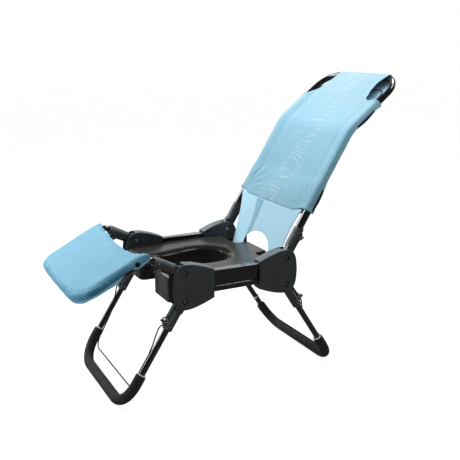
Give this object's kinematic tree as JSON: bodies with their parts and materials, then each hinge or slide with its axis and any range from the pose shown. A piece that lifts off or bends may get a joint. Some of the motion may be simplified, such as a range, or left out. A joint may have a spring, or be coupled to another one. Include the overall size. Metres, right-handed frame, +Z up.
{
  "type": "bath chair",
  "caption": "Folding bath chair with a moulded commode seat, reclining mesh back, padded calf rest, and splayed tube legs with foam sleeves.",
  "frame": {"origin": "on the floor, under the middle of the chair's overall length and width", "axes": "+Z up, +Y to the back of the chair, +X to the sitter's left"},
  "size_m": [0.438, 1.0901, 0.9387],
  "materials": {
    "hub_plastic": "satin",
    "seat_plastic": "satin",
    "black_tube": "gloss",
    "rail_anodised": "gloss",
    "foam": "matte",
    "steel": "satin",
    "wire_black": "satin",
    "nylon": "satin",
    "mesh_fabric": "matte",
    "pad_fabric": "matte"
  },
  "bodies": {
    "base": {"seat_plate": "seat_plastic", "side_rail_left": "rail_anodised", "side_rail_right": "rail_anodised", "rear_cross_tube": "black_tube", "back_cover_foot": "mesh_fabric", "front_hub_outer_shell_left": "hub_plastic", "front_hub_outer_shell_right": "hub_plastic", "front_hub_inner_shell_left": "hub_plastic", "front_hub_inner_shell_right": "hub_plastic", "rear_hub_outer_shell_left": "hub_plastic", "rear_hub_outer_shell_right": "hub_plastic", "rear_hub_inner_shell_left": "hub_plastic", "rear_hub_inner_shell_right": "hub_plastic", "calf_toothed_disc_left": "nylon", "calf_toothed_disc_right": "nylon", "front_leg_toothed_disc_left": "nylon", "front_leg_toothed_disc_right": "nylon", "back_toothed_disc_left": "nylon", "back_toothed_disc_right": "nylon", "rear_leg_toothed_disc_left": "nylon", "rear_leg_toothed_disc_right": "nylon", "calf_pivot_bolt_left": "steel", "calf_pivot_bolt_right": "steel", "front_leg_pivot_bolt_left": "steel", "front_leg_pivot_bolt_right": "steel", "back_pivot_bolt_left": "steel", "back_pivot_bolt_right": "steel", "rear_leg_pivot_bolt_left": "steel", "rear_leg_pivot_bolt_right": "steel"},
    "front_leg": {"front_leg_socket_left": "hub_plastic", "front_leg_socket_right": "hub_plastic", "front_leg_tube": "black_tube", "front_leg_foam_sleeve": "foam"},
    "front_leg_release": {"front_leg_bail_wire": "wire_black", "front_leg_trigger_left": "nylon", "front_leg_trigger_right": "nylon"},
    "rear_leg": {"rear_leg_socket_left": "hub_plastic", "rear_leg_socket_right": "hub_plastic", "rear_leg_tube": "black_tube", "rear_leg_foam_sleeve": "foam"},
    "rear_leg_release": {"rear_leg_bail_wire": "wire_black", "rear_leg_trigger_left": "nylon", "rear_leg_trigger_right": "nylon"},
    "back": {"back_socket_left": "hub_plastic", "back_socket_right": "hub_plastic", "back_lower_tube_left": "black_tube", "back_lower_tube_right": "black_tube", "back_upper_tube": "black_tube", "back_cover": "mesh_fabric"},
    "back_release": {"back_bail_wire": "wire_black", "back_trigger_left": "nylon", "back_trigger_right": "nylon"},
    "calf": {"calf_socket_left": "hub_plastic", "calf_socket_right": "hub_plastic", "calf_tube": "black_tube", "calf_pad": "pad_fabric"},
    "calf_release": {"calf_bail_wire": "wire_black", "calf_trigger_left": "nylon", "calf_trigger_right": "nylon"}
  },
  "joints": [
    {"name": "front_leg_fold", "type": "hinge", "parent": "base", "child": "front_leg", "pos_m": [0, -0.2328, 0.31449], "axis": [1, 0, 0], "range_deg": [-10, 92]},
    {"name": "rear_leg_fold", "type": "hinge", "parent": "base", "child": "rear_leg", "pos_m": [0, 0.1072, 0.31449], "axis": [1, 0, 0], "range_deg": [-12, 55]},
    {"name": "back_recline", "type": "hinge", "parent": "base", "child": "back", "pos_m": [0, 0.1072, 0.39919], "axis": [1, 0, 0], "range_deg": [-50, 15]},
    {"name": "calf_tilt", "type": "hinge", "parent": "base", "child": "calf", "pos_m": [0, -0.2328, 0.39919], "axis": [1, 0, 0], "range_deg": [-15, 33]},
    {"name": "front_leg_bail_slide", "type": "slide", "parent": "front_leg", "child": "front_leg_release", "axis": [0, -0.5446, -0.8387], "range_m": [0, 0.008], "stiffness_N_per_m": 400, "springref_m": -0.01},
    {"name": "rear_leg_bail_slide", "type": "slide", "parent": "rear_leg", "child": "rear_leg_release", "axis": [0, 0.5446, -0.8387], "range_m": [0, 0.008], "stiffness_N_per_m": 400, "springref_m": -0.01},
    {"name": "back_bail_slide", "type": "slide", "parent": "back", "child": "back_release", "axis": [0, 0.527, 0.8499], "range_m": [0, 0.008], "stiffness_N_per_m": 400, "springref_m": -0.01},
    {"name": "calf_bail_slide", "type": "slide", "parent": "calf", "child": "calf_release", "axis": [0, -0.8878, 0.4602], "range_m": [0, 0.005], "stiffness_N_per_m": 400, "springref_m": -0.01}
  ]
}
